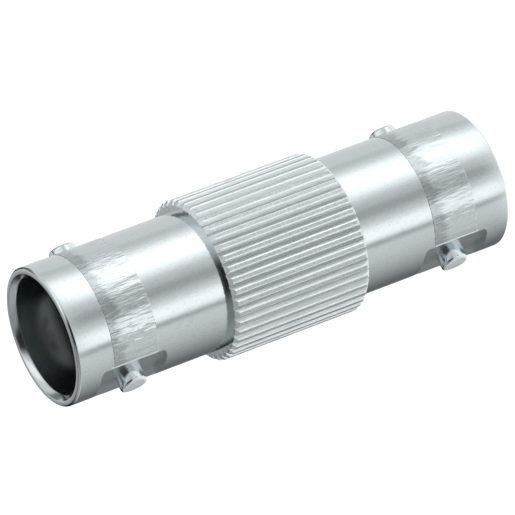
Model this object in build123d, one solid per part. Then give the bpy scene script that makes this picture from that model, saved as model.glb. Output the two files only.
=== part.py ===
"""Straight coaxial coupler with a bayonet jack at each end, standing on its lower rim.

Two turned and milled jack shells are pressed into a knurled sleeve. Between the shells' inner webs
they trap two insulators, and the insulators hold one slotted contact that runs from end to end.
"""
import os
from math import pi, radians, tan

from build123d import *

# Jack shell, outside. Lengths along the shell are measured from its rim.
shell_d = 9.65
jack_length = 11.5
rim_edge = 0.13
band_start = 2.65
band_length = 3.3
band_rise = 0.02

# Jack shell, inside
rim_wall = 0.75
mouth_lead_in = 0.33
mouth_depth = 8.4
web_thickness = 1.0
spigot_lead_in = 0.2
spigot_gap = 0.1

# Bayonet studs and the pockets that they stand in
stud_setback = 4.2
stud_d = 1.9
stud_rise = 0.575
stud_chamfer = 0.12
pocket_length = 5.0
pocket_width = 4.4
pocket_corner = 0.9
pocket_depth = 0.4

# Knurled sleeve
sleeve_length = 10.4
knurl_d = 11.2
sleeve_wall = 1.15
knurl_pitch = 0.8
knurl_depth = 0.33
knurl_land = 0.36
knurl_root = 0.12
knurl_chamfer = 0.25

# Insulators
nose_d = 4.8
nose_recess = 3.4
nose_chamfer = 0.25
neck_d = 5.8
neck_clearance = 0.03
flange_step = 0.6
insulator_gap = 0.1

# Contact
contact_d = 2.2
contact_recess = 0.3
contact_chamfer = 0.12
contact_clearance = 0.02
socket_d = 1.35
socket_depth = 6.5
socket_lead_in = 0.15
drill_angle = 118
slot_width = 0.2
slot_length = 4.6
tine_room = 0.15
collar_rise = 0.4
collar_length = 1.6

# Radii and heights that follow from the sizes above
shell_r = shell_d / 2
mouth_r = shell_r - rim_wall
spigot_r = knurl_d / 2 - sleeve_wall
band_end = band_start + band_length
web_back = mouth_depth + web_thickness
half_length = jack_length + sleeve_length / 2
body_length = 2 * half_length
pocket_floor = shell_r - pocket_depth
stud_tip = shell_r + stud_rise
nose_r = nose_d / 2
neck_r = neck_d / 2
seat_r = neck_r + flange_step
contact_r = contact_d / 2
socket_r = socket_d / 2
collar_r = contact_r + collar_rise
contact_front = nose_recess + contact_recess


def turned(outline):
    """Turn a closed outline of (radius, depth below the rim) points about the axis."""
    points = [(radius, -depth) for radius, depth in outline]
    return revolve(Plane.XZ * make_face(Polyline(*points, close=True)), Axis.Z)


def bayonet_stud():
    """One stud. Its end is curved, as the turned ring that it is milled from."""
    root = (mouth_r + pocket_floor) / 2
    length = stud_tip + stud_d - root
    bar = Pos(root + length / 2, 0, -stud_setback) * Rot(0, 90, 0) * Cylinder(stud_d / 2, length)
    ring = Pos(0, 0, -stud_setback) * Cylinder(stud_tip, 2 * stud_d)
    stud = bar & ring
    end_edges = stud.faces().sort_by(Axis.X)[-1].edges()
    return chamfer(end_edges, stud_chamfer)


def stud_pocket():
    """What is milled away round one stud: a rounded rectangle down to a flat floor."""
    outline = RectangleRounded(pocket_length, pocket_width, pocket_corner)
    return Pos(pocket_floor, 0, -stud_setback) * Rot(0, 90, 0) * extrude(outline, shell_r)


def jack_shell():
    """One shell with its rim at the top: a turned blank, two milled pockets and two studs."""
    spigot_end = half_length - spigot_gap / 2
    shell = turned([
        (mouth_r + mouth_lead_in, 0),
        (shell_r - rim_edge, 0),
        (shell_r, rim_edge),
        (shell_r, band_start),
        (shell_r + band_rise, band_start),
        (shell_r + band_rise, band_end),
        (shell_r, band_end),
        (shell_r, jack_length),
        (spigot_r, jack_length),
        (spigot_r, spigot_end - spigot_lead_in),
        (spigot_r - spigot_lead_in, spigot_end),
        (seat_r, spigot_end),
        (seat_r, web_back),
        (neck_r + neck_clearance, web_back),
        (neck_r + neck_clearance, mouth_depth),
        (mouth_r, mouth_depth),
        (mouth_r, mouth_lead_in),
    ])
    pocket = stud_pocket()
    stud = bayonet_stud()
    for turn in (0, 180):
        shell -= Rot(0, 0, turn) * pocket
        shell += Rot(0, 0, turn) * stud
    return shell


def knurled_sleeve():
    """The sleeve about the middle of the part: a chamfered tube with straight grooves cut along it."""
    knurl_r = knurl_d / 2
    half = sleeve_length / 2
    tube = turned([
        (spigot_r, half),
        (knurl_r - knurl_chamfer, half),
        (knurl_r, half - knurl_chamfer),
        (knurl_r, knurl_chamfer - half),
        (knurl_r - knurl_chamfer, -half),
        (spigot_r, -half),
    ])
    teeth = round(pi * knurl_d / knurl_pitch)
    mouth_half = (pi * knurl_d / teeth - knurl_land) / 2
    root_half = knurl_root / 2
    slope = (mouth_half - root_half) / knurl_depth
    outside = knurl_r + knurl_depth
    outside_half = mouth_half + slope * knurl_depth
    section = make_face(Polyline(
        (knurl_r - knurl_depth, -root_half),
        (knurl_r - knurl_depth, root_half),
        (outside, outside_half),
        (outside, -outside_half),
        close=True,
    ))
    groove = Pos(0, 0, -half) * extrude(section, sleeve_length)
    return tube - [Rot(0, 0, 360 * tooth / teeth) * groove for tooth in range(teeth)]


def insulator():
    """One insulator: a nose in the mouth, a neck that fills the web's hole, and a flange behind the web."""
    flange_end = half_length - insulator_gap / 2
    bore_r = contact_r + contact_clearance
    tine_bore_r = contact_r + tine_room
    tine_end = contact_front + slot_length
    collar_bore_r = collar_r + contact_clearance
    collar_top = half_length - collar_length / 2
    return turned([
        (tine_bore_r, nose_recess),
        (nose_r - nose_chamfer, nose_recess),
        (nose_r, nose_recess + nose_chamfer),
        (nose_r, mouth_depth),
        (neck_r, mouth_depth),
        (neck_r, web_back),
        (seat_r, web_back),
        (seat_r, flange_end),
        (collar_bore_r, flange_end),
        (collar_bore_r, collar_top),
        (bore_r, collar_top),
        (bore_r, tine_end),
        (tine_bore_r, tine_end),
    ])


def centre_contact():
    """The contact about the middle of the part: a drilled and slotted socket at each end."""
    half = half_length - contact_front
    drill_point = socket_r / tan(radians(drill_angle / 2))
    contact = Cylinder(contact_r, 2 * half) + Cylinder(collar_r, collar_length)
    rims = contact.edges().filter_by(GeomType.CIRCLE)
    ends = rims.filter_by(lambda edge: abs(edge.center().Z) > half / 2)
    contact = chamfer(ends, contact_chamfer)
    socket = turned([
        (0, 0),
        (socket_r + socket_lead_in, 0),
        (socket_r, socket_lead_in),
        (socket_r, socket_depth),
        (0, socket_depth + drill_point),
    ])
    slots = Pos(0, 0, -slot_length / 2) * (
        Box(2 * contact_d, slot_width, slot_length) + Box(slot_width, 2 * contact_d, slot_length)
    )
    for end_turn in (0, 180):
        end = Rot(end_turn, 0, 0) * Pos(0, 0, half)
        contact -= end * socket
        contact -= end * Rot(0, 0, 45) * slots
    return contact


upright = Pos(0, 0, body_length)
inverted = Rot(180, 0, 0)
middle = Pos(0, 0, half_length)

nodes = {
    "top_shell": upright * jack_shell(),
    "bottom_shell": inverted * jack_shell(),
    "knurled_sleeve": middle * knurled_sleeve(),
    "top_insulator": upright * insulator(),
    "bottom_insulator": inverted * insulator(),
    "centre_contact": middle * centre_contact(),
}

os.makedirs("parts", exist_ok=True)
for name, solid in nodes.items():
    export_step(solid, f"parts/{name}.step")
    print(f"{name}: {solid.volume:.2f} mm3")
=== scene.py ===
from math import cos, pi, radians, sin, sqrt, tau

import bmesh
import bpy
from mathutils import Matrix, Vector


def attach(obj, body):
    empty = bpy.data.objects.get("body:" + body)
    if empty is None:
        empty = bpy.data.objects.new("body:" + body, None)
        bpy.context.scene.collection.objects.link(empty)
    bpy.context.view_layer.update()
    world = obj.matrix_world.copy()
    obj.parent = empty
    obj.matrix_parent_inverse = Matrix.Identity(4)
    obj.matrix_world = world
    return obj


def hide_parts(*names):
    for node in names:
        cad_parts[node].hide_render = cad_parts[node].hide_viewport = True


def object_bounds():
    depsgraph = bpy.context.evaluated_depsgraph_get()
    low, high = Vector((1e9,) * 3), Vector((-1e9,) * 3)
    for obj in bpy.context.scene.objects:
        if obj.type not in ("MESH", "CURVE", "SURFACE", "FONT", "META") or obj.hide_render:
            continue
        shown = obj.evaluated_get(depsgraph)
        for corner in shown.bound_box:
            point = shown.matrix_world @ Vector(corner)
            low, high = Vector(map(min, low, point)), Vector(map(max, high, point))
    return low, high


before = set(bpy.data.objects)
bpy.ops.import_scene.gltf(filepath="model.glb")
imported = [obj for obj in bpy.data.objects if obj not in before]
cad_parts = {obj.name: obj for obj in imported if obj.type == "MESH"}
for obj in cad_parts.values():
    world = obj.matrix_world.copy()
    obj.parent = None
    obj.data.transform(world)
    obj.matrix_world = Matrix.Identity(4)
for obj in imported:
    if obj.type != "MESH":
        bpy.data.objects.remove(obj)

cad_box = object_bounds()


# Camera and studio
# The part stands on its lower rim on a white table. The camera looks down on it by 24.5 degrees and
# lies almost on its side, so that the part runs across the picture as in the photo.
MM = 0.001
body_length = cad_box[1][2] / MM
half_length = body_length / 2
view_azimuth = radians(250.54)
view_elevation = radians(24.54)
view_roll = radians(-110.48)
view_distance = 0.4

camera_data = bpy.data.cameras.new("camera")
camera_data.lens = 420.4
camera_data.sensor_width = 36
camera_data.shift_x = -0.0047
camera_data.shift_y = -0.0019
camera_data.clip_start = 0.01
camera = bpy.data.objects.new("camera", camera_data)
bpy.context.collection.objects.link(camera)
toward_camera = Vector((
    cos(view_elevation) * cos(view_azimuth),
    cos(view_elevation) * sin(view_azimuth),
    sin(view_elevation),
))
camera.location = Vector((0, 0, half_length * MM)) + view_distance * toward_camera
look = (-toward_camera).to_track_quat("-Z", "Y").to_matrix()
camera.rotation_euler = (look @ Matrix.Rotation(view_roll, 3, "Z")).to_euler()
bpy.context.scene.camera = camera
bpy.context.scene.view_settings.view_transform = "Standard"


class Field:
    """A value that changes over a surface. Arithmetic on it adds Math nodes to its tree."""

    def __init__(self, nodes, socket):
        self.nodes = nodes
        self.socket = socket

    def math(self, operation, *others):
        return self.nodes.add("ShaderNodeMath", {"operation": operation}, [self, *others])["Value"]

    def __add__(self, other):
        return self.math("ADD", other)

    def __sub__(self, other):
        return self.math("SUBTRACT", other)

    def __rsub__(self, other):
        return self.nodes.add("ShaderNodeMath", {"operation": "SUBTRACT"}, [other, self])["Value"]

    def __mul__(self, other):
        return self.math("MULTIPLY", other)

    def __abs__(self):
        return self.math("ABSOLUTE")

    __radd__ = __add__
    __rmul__ = __mul__

    def rise(self, start, stop):
        """0 below start and 1 above stop, with a smooth change between."""
        return self.nodes.add("ShaderNodeMapRange", {"interpolation_type": "SMOOTHSTEP"},
                              {"Value": self, "From Min": start, "From Max": stop})["Result"]

    def within(self, start, stop, soft):
        """1 between start and stop and 0 outside, with a smooth change of a soft width at each."""
        return self.rise(start - soft, start) * (1 - self.rise(stop, stop + soft))


class Nodes:
    """A node tree, and the one way that nodes are added to it."""

    def __init__(self, tree):
        self.tree = tree

    def add(self, kind, settings=None, inputs=()):
        """Add a node, apply its settings, then set or link its sockets. Gives its outputs by name."""
        node = self.tree.nodes.new(kind)
        for name, value in (settings or {}).items():
            setattr(node, name, value)
        self.fill(node, inputs)
        return {output.name: Field(self, output) for output in node.outputs if output.enabled}

    def fill(self, node, inputs):
        """Link each field to its socket, and set each constant on the socket itself."""
        for key, value in inputs.items() if isinstance(inputs, dict) else enumerate(inputs):
            socket = node.inputs[key]
            if isinstance(key, str):
                socket = next(entry for entry in node.inputs if entry.enabled and entry.name == key)
            if isinstance(value, Field):
                self.tree.links.new(value.socket, socket)
            else:
                socket.default_value = value


# The studio is an even white room with soft panels and flags round the table, which the polished
# barrel mirrors as bright and dark bands along its length. Each one starts, is full from, is full to
# and stops at a bearing in degrees round the part from the camera, and adds its strength to the room.
# Each pair is where one row of panels gives way to the next, as the sine of an elevation.
room_level = 0.83
table_level = 1.2
above_table = (-0.64, -0.52)
above_low_panels = (-0.28, -0.18)
above_wall = (0.12, 0.24)
above_high_panels = (0.96, 1.0)
low_panels = [
    (-202, -201, -200, -160, -0.68),
    (-112, -105, -101, -92, -0.1),
    (-96, -64, -54, -18, 0.87),
    (-40, -6, -4, 14, -0.35),
    (-28, -19, -15, -9, 0.1),
    (10, 27, 34, 48, 0.57),
    (40, 45, 48, 54, -0.34),
    (50, 156, 160, 200, -0.68),
]
high_panels = [
    (-202, -201, -200, -160, -0.77),
    (-150, -138, -128, -118, -0.6),
    (-98, -80, -56, -40, 0.4),
    (-40, -6, 30, 60, -0.8),
    (30, 60, 80, 100, -0.12),
    (30, 60, 160, 200, -0.35),
    (124, 150, 160, 200, -0.42),
]
wall_panels = [
    (-202, -201, -132, -116, -0.8),
    (125, 150, 201, 202, -0.8),
]


def studio_light(turn, panels):
    """The sum of a set of panels at a bearing."""
    total = room_level
    for start, full_from, full_to, stop, strength in panels:
        before = turn.rise(radians(start), radians(full_from))
        after = turn.rise(radians(full_to), radians(stop))
        total = (before - after) * strength + total
    return total


def mixed(amount, low, high):
    """From the low value to the high one as the amount goes from 0 to 1."""
    return low + amount * (high - low)


world = bpy.data.worlds.new("studio")
bpy.context.scene.world = world
world.use_nodes = True
sky = Nodes(world.node_tree)
direction = sky.add("ShaderNodeTexCoord")["Generated"]
spread = sky.add("ShaderNodeSeparateXYZ", inputs=[direction])
bearing = spread["Y"].math("ARCTAN2", spread["X"])
# A surface that is turned down the picture mirrors the panels at twice its turn.
turn = ((view_azimuth - tau) - bearing).math("WRAP", pi, -pi)
# From the table up: the table itself, the low panels, the wall, the high panels and the ceiling.
height = spread["Z"]
level = mixed(height.rise(*above_table), table_level, studio_light(turn, low_panels))
level = mixed(height.rise(*above_low_panels), level, studio_light(turn, wall_panels))
level = mixed(height.rise(*above_wall), level, studio_light(turn, high_panels))
level = mixed(height.rise(*above_high_panels), level, room_level)
seen = sky.add("ShaderNodeLightPath")["Is Camera Ray"]
shade = sky.add("ShaderNodeMix", {"data_type": "FLOAT"}, {"Factor": seen, "A": level, "B": 1.0})["Result"]
sky.fill(world.node_tree.nodes["Background"], {"Color": (1, 1, 1, 1), "Strength": shade})

# The table. The metal mirrors the studio's own table level in its place.
table_half = 1.5
table_paint = (0.9, 0.9, 0.9, 1)
glow_strength = 1.25
glow_share = 0.8
bm = bmesh.new()
bmesh.ops.create_grid(bm, x_segments=1, y_segments=1, size=table_half)
floor_mesh = bpy.data.meshes.new("floor")
bm.to_mesh(floor_mesh)
bm.free()
floor = bpy.data.objects.new("floor", floor_mesh)
bpy.context.collection.objects.link(floor)
floor.visible_glossy = False
paint = bpy.data.materials.new("floor_paint")
paint.use_nodes = True
surface = Nodes(paint.node_tree)
paint.node_tree.nodes.remove(paint.node_tree.nodes["Principled BSDF"])
matte = surface.add("ShaderNodeBsdfDiffuse", inputs={"Color": table_paint})["BSDF"]
glow = surface.add("ShaderNodeEmission",
                   inputs={"Color": (1, 1, 1, 1), "Strength": glow_strength})["Emission"]
part_glow = surface.add("ShaderNodeLightPath")["Is Camera Ray"] * glow_share
both = surface.add("ShaderNodeMixShader", inputs={0: part_glow, 1: matte, 2: glow})["Shader"]
surface.fill(paint.node_tree.nodes["Material Output"], {"Surface": both})
floor_mesh.materials.append(paint)


# Jack shells
# Two jack shells, turned from brass bar and milled, then plated with bright nickel. Each has a thin
# rim, a streaked band where the ring between its studs was milled away, and two pockets with studs.
shell_r = 4.825
jack_length = 11.5
rim_edge = 0.13
band_start = 2.65
band_end = 5.95
band_rise = 0.02
mouth_r = 4.075
mouth_lead_in = 0.33
mouth_depth = 8.4
web_back = 9.4
neck_hole_r = 2.93
seat_r = 3.5
spigot_r = 4.45
spigot_end = 16.65
stud_setback = 4.2
stud_r = 0.95
stud_root = 4.25
stud_tip = 5.4
stud_chamfer = 0.12
stud_rounding = 0.08
pocket_length = 5.0
pocket_width = 4.4
pocket_corner = 0.9
pocket_floor = 4.425
round_steps = 256
stud_steps = 64
sharp_angle = radians(10)


def turned(outline, steps):
    """Round the corners of an outline of (radius, height, rounding) in mm, and spin it about Z."""
    bm = bmesh.new()
    corners = [bm.verts.new((radius * MM, 0, height * MM)) for radius, height, _ in outline]
    bm.faces.new(corners)
    for amount in sorted({rounding for _, _, rounding in outline} - {0}):
        chosen = [corner for corner, (_, _, rounding) in zip(corners, outline) if rounding == amount]
        bmesh.ops.bevel(bm, geom=chosen, offset=amount * MM, segments=3, profile=0.5,
                        affect="VERTICES", material=-1)
    bmesh.ops.delete(bm, geom=bm.faces[:], context="FACES_ONLY")
    bmesh.ops.spin(bm, geom=bm.verts[:] + bm.edges[:], cent=(0, 0, 0), axis=(0, 0, 1),
                   angle=tau, steps=steps, use_merge=True)
    bmesh.ops.recalc_face_normals(bm, faces=bm.faces[:])
    return bm


def corners_of(items):
    """The vertices in what a bmesh operator made."""
    return [item for item in items if isinstance(item, bmesh.types.BMVert)]


def prism(bm, along):
    """Extrude the one face of a bmesh along a vector, into a closed solid."""
    made = bmesh.ops.extrude_face_region(bm, geom=bm.faces[:])["geom"]
    bmesh.ops.translate(bm, verts=corners_of(made), vec=along)
    bmesh.ops.recalc_face_normals(bm, faces=bm.faces[:])


def with_opposite(bm):
    """Add a copy of everything, turned half a turn about Z."""
    made = bmesh.ops.duplicate(bm, geom=bm.verts[:] + bm.edges[:] + bm.faces[:])["geom"]
    bmesh.ops.rotate(bm, verts=corners_of(made), cent=(0, 0, 0), matrix=Matrix.Rotation(pi, 3, "Z"))
    bmesh.ops.recalc_face_normals(bm, faces=bm.faces[:])


def as_object(name, bm):
    """Write a bmesh to a new object that sits at the origin."""
    mesh = bpy.data.meshes.new(name)
    bm.to_mesh(mesh)
    bm.free()
    piece = bpy.data.objects.new(name, mesh)
    bpy.context.collection.objects.link(piece)
    return piece


def combined(piece, steps):
    """Apply boolean steps of (operation, tool) to a piece, and remove the tools."""
    for operation, tool in steps:
        change = piece.modifiers.new(operation.lower(), "BOOLEAN")
        change.operation = operation
        change.solver = "EXACT"
        change.object = tool
    bpy.context.view_layer.update()
    finished = piece.evaluated_get(bpy.context.evaluated_depsgraph_get())
    result = bpy.data.meshes.new_from_object(finished)
    result.name = piece.name
    piece.modifiers.clear()
    piece.data = result
    for _, tool in steps:
        bpy.data.objects.remove(tool)


def crisp(piece):
    """Shade smooth round the axis, with every edge of the outline crisp."""
    piece.data.shade_smooth()
    piece.data.set_sharp_from_angle(angle=sharp_angle)


def pocket_mill(stud_height):
    """What is milled away round both studs: a rounded rectangle out from each flat floor."""
    bm = bmesh.new()
    corners = []
    for side, end in ((-1, -1), (1, -1), (1, 1), (-1, 1)):
        place = (pocket_floor, side * pocket_width / 2, stud_height + end * pocket_length / 2)
        corners.append(bm.verts.new(Vector(place) * MM))
    bm.faces.new(corners)
    bmesh.ops.bevel(bm, geom=corners, offset=pocket_corner * MM, segments=10, profile=0.5,
                    affect="VERTICES", material=-1)
    prism(bm, (shell_r * MM, 0, 0))
    with_opposite(bm)
    return as_object("pocket_mill", bm)


def stud_bars(stud_height):
    """Both studs, each from inside its pocket's floor out to an end curved as the ring it was cut from."""
    # The spin leaves a tiny hole at each end of the bar, which is then filled.
    centre = 0.001
    bm = turned([
        (centre, stud_root, 0),
        (stud_r, stud_root, 0),
        (stud_r, stud_tip - stud_chamfer, stud_rounding),
        (stud_r - stud_chamfer, stud_tip, stud_rounding),
        (centre, stud_tip, 0),
    ], stud_steps)
    bmesh.ops.holes_fill(bm, edges=[edge for edge in bm.edges if edge.is_boundary], sides=0)
    bmesh.ops.rotate(bm, verts=bm.verts[:], cent=(0, 0, 0), matrix=Matrix.Rotation(pi / 2, 3, "Y"))
    middle = (stud_root + stud_tip) / 2 * MM
    for vert in bm.verts:
        if vert.co.x > middle:
            vert.co.x -= stud_tip * MM - sqrt((stud_tip * MM) ** 2 - vert.co.y ** 2)
    bmesh.ops.translate(bm, verts=bm.verts[:], vec=(0, 0, stud_height * MM))
    with_opposite(bm)
    return as_object("stud_bars", bm)


def jack_shell(name, height):
    """One shell. The height function turns a depth below its rim into a height above the table."""
    outline = [
        (mouth_r + mouth_lead_in, 0, 0.03),
        (shell_r - rim_edge, 0, 0.04),
        (shell_r, rim_edge, 0.05),
        (shell_r, band_start, 0.006),
        (shell_r + band_rise, band_start, 0.008),
        (shell_r + band_rise, band_end, 0.008),
        (shell_r, band_end, 0.006),
        (shell_r, jack_length, 0),
        (spigot_r, jack_length, 0),
        (spigot_r, spigot_end, 0),
        (seat_r, spigot_end, 0),
        (seat_r, web_back, 0),
        (neck_hole_r, web_back, 0),
        (neck_hole_r, mouth_depth, 0.05),
        (mouth_r, mouth_depth, 0.08),
        (mouth_r, mouth_lead_in, 0.1),
    ]
    placed = [(radius, height(depth), rounding) for radius, depth, rounding in outline]
    shell = as_object(name, turned(placed, round_steps))
    stud_height = height(stud_setback)
    combined(shell, [("DIFFERENCE", pocket_mill(stud_height)), ("UNION", stud_bars(stud_height))])
    crisp(shell)
    return shell


shells = {
    "top_shell": jack_shell("top_jack", lambda depth: body_length - depth),
    "bottom_shell": jack_shell("bottom_jack", lambda depth: depth),
}


def new_surface(name):
    """A new material, its node tree, its shader, and the object coordinates in it."""
    material = bpy.data.materials.new(name)
    material.use_nodes = True
    shader = material.node_tree.nodes["Principled BSDF"]
    tree = Nodes(material.node_tree)
    return material, tree, shader, tree.add("ShaderNodeTexCoord")["Object"]


def noise(tree, place, width, length, detail=4.0):
    """Noise about zero, with grains of a width in mm across the axis and a length in mm along it."""
    stretch = (1 / (width * MM), 1 / (width * MM), 1 / (length * MM))
    stretched = tree.add("ShaderNodeVectorMath", {"operation": "MULTIPLY"}, [place, stretch])["Vector"]
    return tree.add("ShaderNodeTexNoise", inputs={
        "Vector": stretched, "Scale": 1.0, "Detail": detail, "Roughness": 0.6})["Fac"] - 0.5


def relief(tree, height):
    """A normal bent by a height in mm."""
    return tree.add("ShaderNodeBump", inputs={"Strength": 1.0, "Distance": MM, "Height": height})["Normal"]


def tinted(tree, amount, low, high):
    """From one colour to another as the amount goes from 0 to 1."""
    start, stop = (tint if isinstance(tint, Field) else (*tint, 1) for tint in (low, high))
    return tree.add("ShaderNodeMix", {"data_type": "RGBA"},
                    {"Factor": amount, "A": start, "B": stop})["Result"]


def across(tree, place):
    """The coordinates in mm, and the distance from the axis."""
    part = tree.add("ShaderNodeSeparateXYZ", inputs=[place])
    x, y, z = (part[axis] * (1 / MM) for axis in "XYZ")
    return x, y, z, (x * x + y * y).math("SQRT")


# Bright nickel over turned brass: faint lathe rings and grain, streaks along the milled bands with painted
# shade along one edge of each, ring marks from the mill on the matte pocket floors, a painted highlight
# line along each pocket's straight edges, darker walls in the mouth from dull plating and painted shade,
# and frosted stud ends whose colour is lightened as a painted highlight.
nickel = (0.635, 0.69, 0.71)
shade_and_speckle_nickel = (0.38, 0.415, 0.43)
mouth_dull_and_shade_nickel = (0.48, 0.53, 0.53)
highlight_nickel = (0.88, 0.94, 0.96)

plate, tree, shader, place = new_surface("nickel_shell_plate")
x, y, z, radius = across(tree, place)
depth = half_length - abs(z - half_length)
from_stud = (y * y + (depth - stud_setback) * (depth - stud_setback)).math("SQRT")
outside = radius.rise(mouth_r + 0.225, mouth_r + 0.425)
mouth = 1 - radius.rise(mouth_r + 0.02, mouth_r + 0.06)
above_floor = abs(x).rise(pocket_floor + 0.01, pocket_floor + 0.03)
stud = (1 - from_stud.rise(stud_r + 0.01, stud_r + 0.03)) * above_floor
# The stud ends are frosted (rougher), and their colour is lightened as a painted highlight.
tip = (1 - from_stud.rise(stud_r - stud_chamfer, stud_r - stud_chamfer + 0.03)) * stud
on_floor = 1 - abs(abs(x) - pocket_floor).rise(0.006, 0.02)
pocket_start = stud_setback - pocket_length / 2
pocket_end = stud_setback + pocket_length / 2
pocket = on_floor * depth.within(pocket_start, pocket_end, 0.02) * outside * (1 - stud)
pocket_half = sqrt((shell_r + band_rise) ** 2 - pocket_floor ** 2)
# Painted highlight: a lighter, rougher line along each pocket's straight edges, in place of the gleam of
# the rounded edge.
pocket_edge_highlight = abs(y).within(pocket_half + 0.02, pocket_half + 0.1, 0.03) * outside
pocket_edge_highlight = pocket_edge_highlight * depth.within(pocket_start + pocket_corner, pocket_end - pocket_corner, 0.3)
band = depth.within(band_start, band_end, 0.03) * outside * (1 - stud) * (1 - pocket)

clouds = noise(tree, place, 2.4, 2.4)
grain = noise(tree, place, 0.12, 0.3, 2.0)
speckle = noise(tree, place, 0.16, 0.24, 2.0)
fine_streaks = noise(tree, place, 0.2, 2.4)
broad_streaks = noise(tree, place, 0.45, 2.2, 2.0)
# Each band is darkened along its upper edge as painted shade, with a ragged border, and the lower band is
# smoother.
lower = 1 - z.rise(half_length - 0.1, half_length + 0.1)
below_edge = mixed(lower, depth - band_start, band_end - depth)
ragged = below_edge + (fine_streaks + broad_streaks) * 1.7
# Painted shade along each band's upper edge, plus random speckle in the plating's tone everywhere.
band_shade_and_speckle = band * (1 - ragged.rise(0.55, 1.15)) * 0.8 + speckle * 0.9
lathe_rings = tree.add("ShaderNodeTexNoise", {"noise_dimensions": "1D"},
                       {"W": z, "Scale": 9.0, "Detail": 6.0})["Fac"] - 0.5
mill_rings = (from_stud * 28).math("SINE")

roughness = 0.14 + clouds * 0.1 + grain * 0.06 + depth.rise(jack_length - 0.7, jack_length - 0.2) * 0.02
roughness = roughness + band * (0.06 + fine_streaks * 0.2) + mouth * 0.06
roughness = roughness + pocket * 0.2 + pocket_edge_highlight * 0.2 + stud * 0.02 + tip * 0.4
bend = lathe_rings * 0.0012 + grain * 0.0006 + fine_streaks * 0.001 + pocket * mill_rings * 0.0015
bend = bend + band * (fine_streaks * 0.008 + broad_streaks * (0.08 - lower * 0.03))
tint = tinted(tree, tip, nickel, highlight_nickel)
tint = tinted(tree, band_shade_and_speckle, tint, shade_and_speckle_nickel)
tint = tinted(tree, pocket_edge_highlight, tint, highlight_nickel)
# The mouth's walls are darker, from dull plating in the bore and from painted shade of the deep hole.
tint = tinted(tree, mouth, tint, mouth_dull_and_shade_nickel)
tree.fill(shader, {
    "Base Color": tint,
    "Metallic": 1.0,
    "Roughness": roughness,
    "Normal": relief(tree, bend),
})

for node, shell in shells.items():
    shell.data.materials.clear()
    shell.data.materials.append(plate)
    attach(shell, "root")
    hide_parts(node)


# Knurled sleeve
# The thicker middle sleeve that both shells are pressed into: brass with a straight knurl of 44
# flat-topped teeth, chamfered at both ends so that each groove opens in a small scallop.
sleeve_length = 10.4
knurl_r = 5.6
knurl_depth = 0.33
knurl_chamfer = 0.25
tooth_count = 44
tooth_land = 0.36
groove_root = 0.12
crest_rounding = 0.09
root_rounding = 0.03
chamfer_rounding = 0.03
past = 0.5

pitch_angle = tau / tooth_count
root_r = knurl_r - knurl_depth
groove_half = (pitch_angle * knurl_r - tooth_land) / 2
end_r = knurl_r - knurl_chamfer
low = half_length - sleeve_length / 2
high = half_length + sleeve_length / 2

bm = bmesh.new()
next_groove = Matrix.Rotation(pitch_angle, 3, "Z")
root = Vector((root_r, groove_root / 2, 0))
corner = Vector((sqrt(knurl_r ** 2 - groove_half ** 2), groove_half, 0))
far_corner, far_root = (next_groove @ Vector((point.x, -point.y, 0)) for point in (corner, root))
tooth = [bm.verts.new(point * MM) for point in (root, corner, far_corner, far_root, next_groove @ root)]
for start, stop in zip(tooth, tooth[1:]):
    bm.edges.new((start, stop))
bmesh.ops.spin(bm, geom=bm.verts[:] + bm.edges[:], cent=(0, 0, 0), axis=(0, 0, 1),
               angle=tau, steps=tooth_count, use_duplicate=True)
bmesh.ops.remove_doubles(bm, verts=bm.verts[:], dist=0.005 * MM)
bmesh.ops.contextual_create(bm, geom=bm.edges[:])
middle_r = (root_r + knurl_r) / 2 * MM
crests = [vert for vert in bm.verts if vert.co.length > middle_r]
roots = [vert for vert in bm.verts if vert.co.length < middle_r]
for chosen, rounding in ((crests, crest_rounding), (roots, root_rounding)):
    bmesh.ops.bevel(bm, geom=chosen, offset=rounding * MM, segments=3, profile=0.5,
                    affect="VERTICES", material=-1)
bmesh.ops.translate(bm, verts=bm.verts[:], vec=(0, 0, (low - past) * MM))
prism(bm, (0, 0, (sleeve_length + 2 * past) * MM))
sleeve = as_object("grip_sleeve", bm)
blank = as_object("sleeve_blank", turned([
    (spigot_r, low, 0),
    (end_r, low, chamfer_rounding),
    (knurl_r + past, low + knurl_chamfer + past, 0),
    (knurl_r + past, high - knurl_chamfer - past, 0),
    (end_r, high, chamfer_rounding),
    (spigot_r, high, 0),
], round_steps))
combined(sleeve, [("INTERSECT", blank)])
crisp(sleeve)

# Nickel over the knurl: dull speckled lands with burnished edges lightened by a painted highlight, drawn
# lines along the grooves, flanks lightened by painted light, groove roots darkened by painted shade, and
# smooth ends.
burnish_highlight_nickel = (0.89, 0.94, 0.95)
land_nickel = (0.48, 0.515, 0.53)
painted_light_flank_nickel = (0.86, 0.905, 0.92)
painted_shade_root_nickel = (0.44, 0.465, 0.47)

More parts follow.
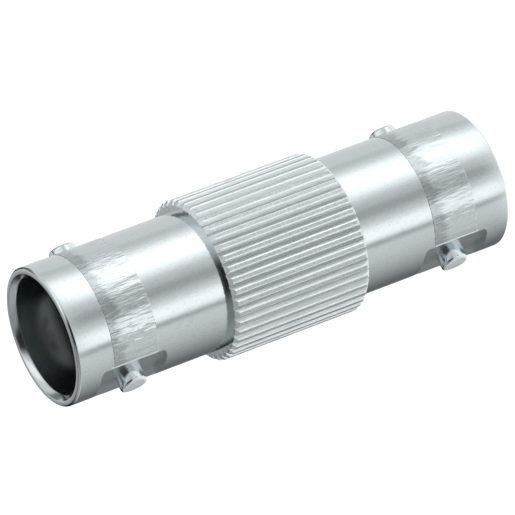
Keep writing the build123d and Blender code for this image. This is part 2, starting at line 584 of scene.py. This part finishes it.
knurl_plate, tree, shader, place = new_surface("nickel_knurl_plate")
x, y, z, radius = across(tree, place)
from_end = sleeve_length / 2 - abs(z - half_length)
knurled = from_end.rise(0.004, 0.02)
on_land = from_end.rise(knurl_chamfer - 0.02, knurl_chamfer + 0.02)
above_root = radius.rise(root_r + 0.005, root_r + 0.04)
crest = radius.rise(knurl_r - 0.12, knurl_r - 0.04) * on_land
from_land = abs(y.math("ARCTAN2", x).math("WRAP", pitch_angle, 0) - pitch_angle / 2) * knurl_r
# Burnished crest edges: real wear makes them smoother, and their lighter colour is a painted highlight.
burnish_and_highlight = from_land.rise(0.09, 0.14) * crest
drawn = noise(tree, place, 0.16, 2.5)
grain = noise(tree, place, 0.16, 0.3)
speckle = noise(tree, place, 0.1, 0.16, 2.0)
wear = (crest - burnish_and_highlight) * 0.1 + burnish_and_highlight * 0.17
roughness = 0.11 + knurled * (0.38 + drawn * 0.3 + grain * 0.25 - wear)
# The flanks are lightened with painted light, and the groove roots are darkened with painted shade.
tint = tinted(tree, above_root, painted_shade_root_nickel, painted_light_flank_nickel)
tint = tinted(tree, crest * (0.9 + speckle * 1.6), tint, land_nickel)
tint = tinted(tree, burnish_and_highlight, tint, burnish_highlight_nickel)
tree.fill(shader, {
    "Base Color": tinted(tree, knurled, nickel, tint),
    "Metallic": 1.0,
    "Roughness": roughness,
    "Normal": relief(tree, knurled * (drawn * 0.05 + grain * 0.03 + speckle * 0.02)),
})
sleeve.data.materials.clear()
sleeve.data.materials.append(knurl_plate)
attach(sleeve, "root")
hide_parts("knurled_sleeve")


# Insulators
# The two insulators deep in the mouths, turned from grey plastic with a fine even grain. The photo
# shows only their faint gleam on the mouth's wall, so they keep the CAD's shape.
darker_grey = (0.36, 0.37, 0.365)
lighter_grey = (0.43, 0.44, 0.435)

plastic, tree, shader, place = new_surface("grey_plastic")
grain = noise(tree, place, 0.15, 0.15)
clouds = noise(tree, place, 2.0, 2.0)
tree.fill(shader, {
    "Base Color": tinted(tree, clouds + 0.5, darker_grey, lighter_grey),
    "Roughness": 0.5 + grain * 0.2,
    "Normal": relief(tree, grain * 0.006),
})
for node in ("top_insulator", "bottom_insulator"):
    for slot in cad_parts[node].material_slots:
        slot.material = plastic


# Contact
# The slotted contact inside the insulators, silver plated and a little tarnished, with faint lathe
# rings. The photo doesn't show it, and no gold gleams in the mouth.
tarnished_silver = (0.5, 0.48, 0.45)
bright_silver = (0.66, 0.64, 0.6)

silver, tree, shader, place = new_surface("silver_plate")
clouds = noise(tree, place, 1.5, 1.5)
rings = noise(tree, place, 20.0, 0.1)
tree.fill(shader, {
    "Base Color": tinted(tree, clouds + 0.5, tarnished_silver, bright_silver),
    "Metallic": 1.0,
    "Roughness": 0.25 + clouds * 0.1,
    "Normal": relief(tree, rings * 0.002),
})
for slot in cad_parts["centre_contact"].material_slots:
    slot.material = silver
